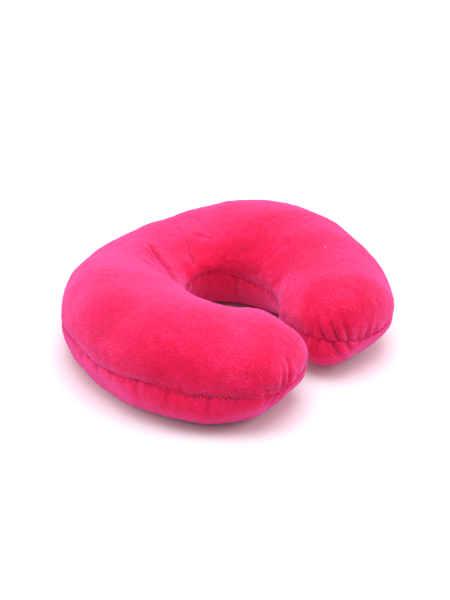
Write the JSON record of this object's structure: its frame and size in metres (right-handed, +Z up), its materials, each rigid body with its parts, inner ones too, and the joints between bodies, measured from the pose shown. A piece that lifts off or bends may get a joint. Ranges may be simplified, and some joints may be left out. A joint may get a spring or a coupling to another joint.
{
  "type": "neck pillow",
  "caption": "U-shaped travel neck pillow: plush top and bottom panels sewn at one perimeter seam, stuffed with fibre and closed by hand.",
  "frame": {"origin": "on the floor under the middle of the pillow's outline", "axes": "+Z up through the thickness, +Y towards the back of the neck, -Y out of the opening between the arms, X = 0 the mirror plane"},
  "size_m": [0.3048, 0.2832, 0.088],
  "materials": {
    "plush": "short-pile plush with a soft nap",
    "fibre": "loose matte polyester fibre",
    "machine_thread": "spun polyester sewing thread",
    "hand_thread": "doubled spun polyester thread"
  },
  "bodies": {
    "root": {"top_panel": "plush", "bottom_panel": "plush", "fibre_fill": "fibre", "seam_needle_thread": "machine_thread", "seam_bobbin_thread": "machine_thread", "closing_thread": "hand_thread"}
  },
  "joints": []
}
